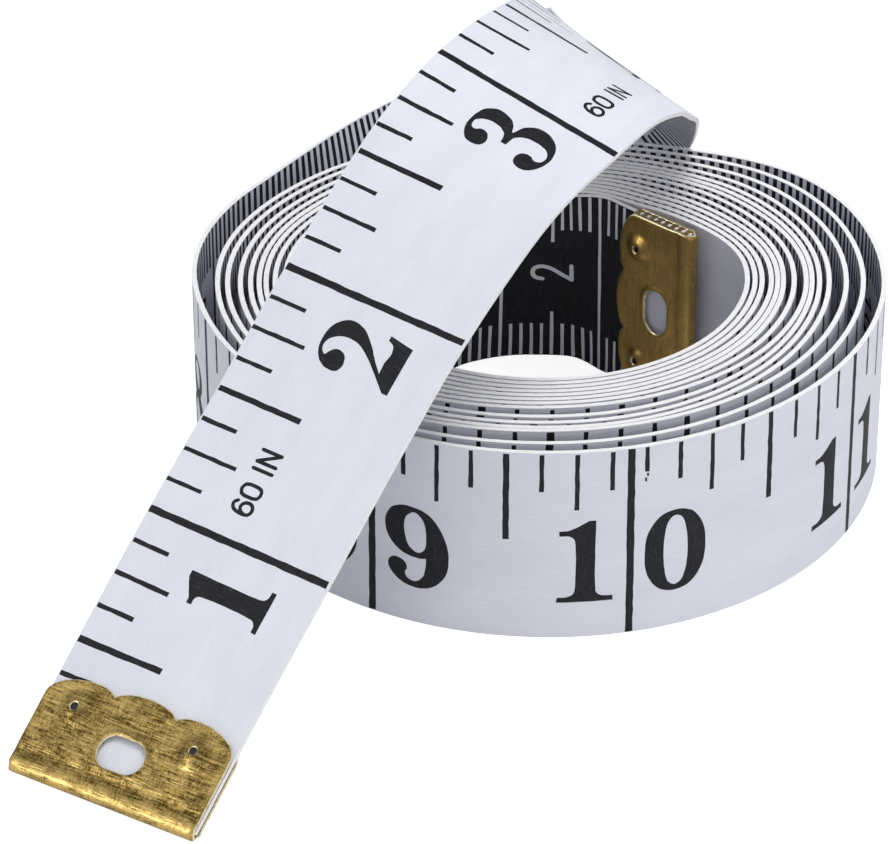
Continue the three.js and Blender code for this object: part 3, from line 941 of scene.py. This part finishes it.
def circle_outline(centre, radius, steps):
    angles = np.arange(steps) / steps * 2 * math.pi
    return np.stack([centre[0] + radius * np.cos(angles), centre[1] + radius * np.sin(angles)], 1)


def leaf_profile():
    """The sheet's middle in section from the fold to the lobes: (length walked, x, height)."""
    angles = np.linspace(0, math.pi / 2, fold_steps)
    fold = np.stack([-leaf_height * np.cos(angles), leaf_height * np.sin(angles)], 1)
    flat_x = np.linspace(flat_start, lobe_reach + flat_spare, flat_steps)
    flat_z = leaf_height - valley_depth * np.exp(-((flat_x - valley_place) / valley_width) ** 2)
    line = np.vstack([fold, np.stack([flat_x, flat_z], 1)])
    length = np.concatenate([[0], np.cumsum(np.linalg.norm(np.diff(line, axis=0), axis=1))])
    return length, line[:, 0], line[:, 1]


profile_length, profile_x, profile_z = leaf_profile()
fold_half = np.interp(0, profile_x, profile_length)


def on_profile(length):
    return np.interp(length, profile_length, profile_x), np.interp(length, profile_length, profile_z)


def pressed(x, y, wobble):
    """How far the sheet stands out of its own plane: slot lip, dimples and dents."""
    from_slot = np.hypot(x - slot_centre, np.maximum(abs(y) - slot_straight, 0)) - slot_breadth / 2
    out = lip_height * np.exp(-((from_slot - lip_inset) / lip_width) ** 2)
    for side in (-1, 1):
        from_x, from_y = x - dimple_centre[0], y - side * dimple_centre[1]
        reach = np.clip(np.hypot(from_x, from_y) / dimple_radius, 0, 1)
        dome = (1 + np.cos(math.pi * reach ** dimple_power)) / 2
        hole = np.hypot(from_x - hole_offset[0], from_y - hole_offset[1])
        crater = crater_share * np.exp(-(hole / crater_radius) ** 4)
        out = out + dimple_height * dome * (1 - crater)
    for phase, slant_x, slant_y in wobble:
        wave = (slant_x - 0.5) * dent_waves[0] * x / mm + (slant_y - 0.5) * dent_waves[1] * y / mm
        out = out + dent_height * np.sin(phase * dent_phase + wave)
    return out


def far_from(points, others, least):
    return points[np.array([np.hypot(*(others - p).T).min() > least for p in points])]


def clip_layout():
    """The unfolded sheet in triangles, its points as lengths from the fold and places across."""
    def unfolded(leaf, shape):
        return np.stack([leaf * np.interp(shape[:, 0], profile_x, profile_length), shape[:, 1]], 1)

    upper = unfolded(1, lobes())
    half = tape_width / 2
    sides = np.linspace(upper[0, 0], -upper[0, 0], side_steps)[1:-1]
    high_side, low_side = [(a, half) for a in sides], [(a, -half) for a in sides[::-1]]
    loops = [np.vstack([upper, high_side, (upper * (-1, 1))[::-1], low_side])]
    spots = []
    for leaf in (1, -1):
        shapes = [slot_outline(slot_steps)]
        for side in (-1, 1):
            centre = (dimple_centre[0] + hole_offset[0], side * dimple_centre[1] + hole_offset[1])
            shapes.append(circle_outline(centre, hole_radius, hole_steps))
            for i, d in enumerate(hole_rings):
                steps = ring_steps[0] + ring_steps[1] * i
                spots.append(unfolded(leaf, circle_outline(centre, hole_radius + d * mm, steps)))
        ring = slot_outline(slot_ring_steps)
        way = ring - shapes[0].mean(0)
        way /= np.linalg.norm(way, axis=1)[:, None]
        spots += [unfolded(leaf, ring + way * d * mm) for d in slot_rings]
        loops += [unfolded(leaf, shape)[::leaf] for shape in shapes]
    for a in np.linspace(-fold_half, fold_half, fold_steps):
        across_fold = np.arange(-fold_columns, fold_columns + 1) * fold_grid
        spots.append(np.stack([np.full(len(across_fold), a), across_fold], 1))
    steps_a = np.arange(fold_half + grid_start, loops[0][:, 0].max(), grid_row)
    steps_y = np.arange(grid_margins[0] - half, half - grid_margins[1], sheet_grid)
    grid = np.array([(a, y + (i % 2) * sheet_grid / 2) for i, a in enumerate(steps_a) for y in steps_y])
    ringed = np.vstack(spots)
    grid = far_from(grid, ringed, grid_apart)
    spots += [grid, far_from(grid * (-1, 1), ringed, grid_apart)]
    border = np.vstack(loops)
    points = np.vstack([border] + [far_from(spot, border, border_apart) for spot in spots])
    ends = np.cumsum([0] + [len(loop) for loop in loops])
    faces = [list(range(*pair)) for pair in zip(ends.tolist(), ends[1:].tolist())]
    near = [Vector(p) for p in points / mm]
    corners, _, triangles, _, _, parents = delaunay_2d_cdt(near, [], faces, 1, weld, True)
    triangles = np.array(triangles)[np.array([own == [0] for own in parents])]
    used, renumbered = np.unique(triangles, return_inverse=True)
    flat = np.array([corner[:] for corner in corners])[used] * mm
    return flat, renumbered.reshape(triangles.shape)


def clip_mesh(name, seed, material, reach_share):
    """A folded clip about its fold: X along the tape, Y across it, Z out of the printed face."""
    own = random.Random(seed)
    wobble = [[own.random() for _ in range(3)] for _ in range(dent_count)]
    a, y = sheet_flat.T
    x, z = on_profile(abs(a))
    ahead_x, ahead_z = on_profile(abs(a) + slope_step)
    slope_x, slope_z = ahead_x - x, ahead_z - z
    size = np.hypot(slope_x, slope_z)
    normal = np.stack([-slope_z / size, np.zeros(len(a)), np.sign(a) * slope_x / size], 1)
    normal[abs(a) < near_zero] = (-1, 0, 0)
    centre = np.stack([np.where(x > 0, x * reach_share, x), y, z * np.sign(a)], 1)
    raised = pressed(x, y, wobble) * np.clip((abs(a) - fold_half) / press_reach, 0, 1)
    outer = centre + normal * (raised + sheet_thick / 2)[:, None]
    inner = centre + normal * (raised - sheet_thick / 2)[:, None]
    count = len(a)
    # Walls round the outline and the holes, from the triangles' free sides
    sides_seen = {pair: True for i, j, k in sheet_triangles for pair in ((i, j), (j, k), (k, i))}
    free = [pair for pair in sides_seen if pair[::-1] not in sides_seen]
    rim = sorted({i for pair in free for i in pair})
    rim_index = {v: n for n, v in enumerate(rim)}
    push = np.zeros((len(rim), 3))
    for i, j in free:
        sidewards = np.cross(outer[j] - outer[i], normal[i])
        sidewards /= max(np.linalg.norm(sidewards), near_zero ** 2)
        push[rim_index[i]] += sidewards
        push[rim_index[j]] += sidewards
    push /= np.linalg.norm(push, axis=1)[:, None]
    upper_rim = outer[rim] - normal[rim] * sheet_bevel + push * sheet_bevel
    lower_rim = inner[rim] + normal[rim] * sheet_bevel + push * sheet_bevel
    vertices = np.vstack([outer, inner, upper_rim, lower_rim])
    polygons = sheet_triangles.tolist() + (sheet_triangles[:, ::-1] + count).tolist()
    leaf_count = len(polygons)
    for i, j in free:
        columns = []
        for corner in (i, j):
            rim_corner = 2 * count + rim_index[corner]
            columns.append([int(v) for v in (corner, rim_corner, rim_corner + len(rim), count + corner)])
        start, end = columns
        polygons += [(end[n], start[n], start[n + 1], end[n + 1]) for n in range(3)]
    # The walls take the rim brass, whose bright colour is a painted highlight.
    slots = [0] * leaf_count + [1] * (len(polygons) - leaf_count)
    sheet = np.stack([a / mm, y / mm, np.zeros(count)], 1)
    sheet = np.vstack([sheet, sheet, sheet[rim], sheet[rim]])
    return linked(name, finished_mesh(name, vertices, polygons, [material, rim_brass_painted_highlight], slots,
                                      "sheet_place", sheet))


def add_teeth(clip, material):
    """A row of small teeth between the leaves, at the upper edge of the inner clip."""
    mesh = bmesh.new()
    mesh.from_mesh(clip.data)
    slot = len(clip.data.materials)
    clip.data.materials.append(material)
    for i in range(tooth_count):
        x = tooth_start + i * tooth_pitch
        place = Vector((x, tooth_edge * (tape_width / 2 - tooth_deep / 2 + tooth_proud), 0))
        size = Vector((tooth_length, tooth_deep, 2 * (leaf_height - sheet_thick / 2)))
        made = bmesh.ops.create_cube(mesh, size=1, matrix=Matrix.LocRotScale(place, None, size))
        for made_face in {f for v in made["verts"] for f in v.link_faces}:
            made_face.material_index = slot
    mesh.to_mesh(clip.data)
    mesh.free()


def set_on_tape(clip, place, way):
    """Puts a clip's fold at a place on the tape, its leaves lying back over the tape."""
    m, a, c, f = (table[0] for table in at(np.array([place])))
    a = a * way
    z = f - a * float(np.dot(f, a))
    z /= np.linalg.norm(z)
    y = np.cross(z, a)
    turn = Matrix((Vector(a), Vector(y), Vector(z))).transposed()
    clip.data.transform(turn.to_4x4())
    clip.data.transform(Matrix.Translation(Vector(m + coil_centre)))
    for vertex in clip.data.vertices:
        vertex.co.z = max(vertex.co.z, 0)


def rim_material():
    """The sheet's sheared edge, coloured bright as a painted highlight along the rim."""
    material, tree, shader = new_material("rim_brass_painted_highlight")
    wear_and_painted_light = noise(tree, place_on(tree, "sheet_place"), (1.7, 1.7, 1.7))
    feed(tree, shader, {
        "Base Color": ramp(tree, wear_and_painted_light, [(0.3, (0.6, 0.46, 0.2)), (0.5, (1, 0.9, 0.6))]),
        "Metallic": 1,
        "Roughness": 0.32,
    })
    return material


def chain(tree, operation, value, *others):
    """A value joined with each of the others in turn by math nodes of one kind."""
    for other in others:
        value = node(tree, "ShaderNodeMath", {0: value, 1: other}, operation=operation).outputs[0]
    return value


def brass_material(name, light, dark, scratch):
    """Worn sheet brass: brushed both ways, with longer scratches and dull patches, and painted light by
    the fold.
    """
    material, tree, shader = new_material(name)
    place = place_on(tree, "sheet_place")
    brushed_across = noise(tree, place, (11, 0.9, 1), 2, 0.6, 1.3)
    brushed_along = noise(tree, place, (4.5, 0.3, 1), 3, 0.6, 4.1)
    patches = noise(tree, place, (0.5, 0.4, 1), 2, 0.6, 8.2)
    fine = noise(tree, place, (2.2, 9, 1), 2, 0.6, 2.7)
    both = chain(tree, "ADD", brushed_across, brushed_along)
    wear_and_painted_light = chain(tree, "MULTIPLY", chain(tree, "ADD", both, patches, fine), 0.25)
    # Painted light by the fold: a painted highlight along the fold's rounded edge, and painted shade in
    # the groove beside it
    along_sheet = node(tree, "ShaderNodeSeparateXYZ", {0: place}).outputs[0]
    away = node(tree, "ShaderNodeMath", {0: along_sheet}, operation="ABSOLUTE").outputs[0]
    away = chain(tree, "MULTIPLY", away, 0.2)
    painted_fold_highlight = ramp(tree, away, [(0.2, (0.04,) * 3), (0.36, (0,) * 3)])
    painted_groove_shade = ramp(tree, away, [(0.3, (0,) * 3), (0.4, (0.035,) * 3), (0.56, (0,) * 3)])
    wear_and_painted_light = chain(tree, "SUBTRACT", chain(tree, "ADD", wear_and_painted_light, painted_fold_highlight), painted_groove_shade)
    between = tuple((a + b) / 2 for a, b in zip(light, dark))
    shine = {"Value": wear_and_painted_light, "From Min": 0.4, "From Max": 0.6, "To Min": 0.45, "To Max": 0.28}
    feed(tree, shader, {
        "Base Color": ramp(tree, wear_and_painted_light, [(0.43, dark), (0.5, between), (0.57, light)]),
        "Roughness": node(tree, "ShaderNodeMapRange", shine).outputs[0],
        "Metallic": 1,
        "Normal": bump(tree, both, scratch, 0.7, bump(tree, patches, 0.06 * mm, 0.5)),
    })
    return material


# The rim brass: its bright colour is a painted highlight on the sheet's edges.
rim_brass_painted_highlight = rim_material()
# One brass, coloured apart for each clip's light: painted light lifts the inner clip's colour against the
# shade in the hole, and painted shade darkens the outer clip's colour against its bright reflections.
outer_brass = brass_material("outer_brass", (0.68, 0.485, 0.17), (0.1, 0.062, 0.012), 0.05 * mm)
inner_brass = brass_material("inner_brass", (0.56, 0.37, 0.12), (0.36, 0.23, 0.065), 0.012 * mm)
fold_setback = 0.775 * mm
sheet_flat, sheet_triangles = clip_layout()
outer_clip = clip_mesh("outer_clip", 3, outer_brass, 1.03)
inner_clip = clip_mesh("inner_clip", 8, inner_brass, 0.9)
add_teeth(inner_clip, outer_brass)
set_on_tape(outer_clip, float(np.interp(fold_setback, walked, place_of)), 1)
set_on_tape(inner_clip, tape_end - fold_setback, -1)
clip_nodes = [(outer_clip, "outer_end_clip", "free_end"), (inner_clip, "inner_end_clip", "coil")]
for clip, cad_node, body in clip_nodes:
    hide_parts(cad_node)
    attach(clip, body)

# Camera at the photograph's view, fitted about the coil's centre
image_width = 889
sensor_width = 36
camera_distance = 465.778 * mm
camera_down = 0.588181
camera_turn = 0.020335
camera_pitch = 0.0021432
camera_roll = -0.0122405
focal_pixels = 4792.856


def place_camera():
    data = bpy.data.cameras.new("camera")
    camera = linked("camera", data)
    data.sensor_width = sensor_width
    data.lens = focal_pixels / image_width * sensor_width
    away, height = math.cos(camera_down), math.sin(camera_down)
    forward = Vector((0, away, -height))
    right = Vector((1, 0, 0))
    up = right.cross(forward)
    for angle, axis in ((camera_turn, up), (camera_pitch, right), (camera_roll, forward)):
        turn = Matrix.Rotation(angle, 3, axis.normalized())
        forward, right, up = turn @ forward, turn @ right, turn @ up
    place = Vector(coil_centre) + Vector((0, -away, height)) * camera_distance
    basis = Matrix((right, up, -forward)).transposed().to_4x4()
    camera.matrix_world = Matrix.Translation(place) @ basis
    data.clip_start, data.clip_end = 0.01, 20
    bpy.context.scene.camera = camera


place_camera()

# Lamps: place from the coil's centre along X and Y, height, size and power. Those that are
# mirrored only shine back from the brass, and the others only light the cloth and floor.
lamps = [
    ("key", 0.15, -0.05, 0.95, 0.5, 4.3, False),
    ("front", 0.5, -0.7, 0.45, 0.6, 1.35, False),
    ("side", -0.8, -0.45, 0.4, 0.5, 2.4, True),
]
world_light = 0.58
floor_size = 4
floor_grey = 0.8
floor_glow = 0.8


def soft_lamp(name, x, y, height, size, power, mirrored):
    """A round lamp turned towards the coil's centre."""
    data = bpy.data.lights.new(name, "AREA")
    data.shape = "DISK"
    data.size = size
    data.energy = power
    lamp = linked(name, data)
    place = Vector((coil_centre[0] + x, coil_centre[1] + y, height))
    lamp.location = place
    lamp.visible_glossy = mirrored
    lamp.visible_diffuse = not mirrored
    lamp.rotation_euler = (Vector(coil_centre) - place).to_track_quat("-Z", "Y").to_euler()


def light_scene():
    for lamp in lamps:
        soft_lamp(*lamp)
    world = bpy.data.worlds.new("studio")
    bpy.context.scene.world = world
    world.use_nodes = True
    tree = world.node_tree
    camera_ray = node(tree, "ShaderNodeLightPath", {}).outputs["Is Camera Ray"]
    strength = node(tree, "ShaderNodeMapRange", {"Value": camera_ray, "To Min": world_light, "To Max": 1})
    feed(tree, tree.nodes["Background"], {"Color": (1, 1, 1, 1), "Strength": strength.outputs[0]})


def make_floor():
    """A pale floor that keeps the shadows, and glows for the camera so that it shows white."""
    half = floor_size / 2
    corners = [(-half, -half, 0), (half, -half, 0), (half, half, 0), (-half, half, 0)]
    mesh = bpy.data.meshes.new("floor")
    mesh.from_pydata(corners, [], [(0, 1, 2, 3)])
    floor = linked("floor", mesh)
    material, tree, shader = new_material("white_floor")
    feed(tree, shader, {"Base Color": (floor_grey, floor_grey, floor_grey, 1), "Roughness": 1})
    camera_ray = node(tree, "ShaderNodeLightPath", {}).outputs["Is Camera Ray"]
    glow = node(tree, "ShaderNodeEmission", {"Color": (1, 1, 1, 1), "Strength": floor_glow}).outputs[0]
    none = node(tree, "ShaderNodeEmission", {"Color": (0, 0, 0, 1), "Strength": 0}).outputs[0]
    lit = node(tree, "ShaderNodeMixShader", {0: camera_ray, 1: none, 2: glow}).outputs[0]
    both = node(tree, "ShaderNodeAddShader", {0: shader.outputs[0], 1: lit})
    feed(tree, tree.nodes["Material Output"], {"Surface": both.outputs[0]})
    mesh.materials.append(material)


light_scene()
make_floor()
bpy.context.scene.view_settings.view_transform = "Standard"
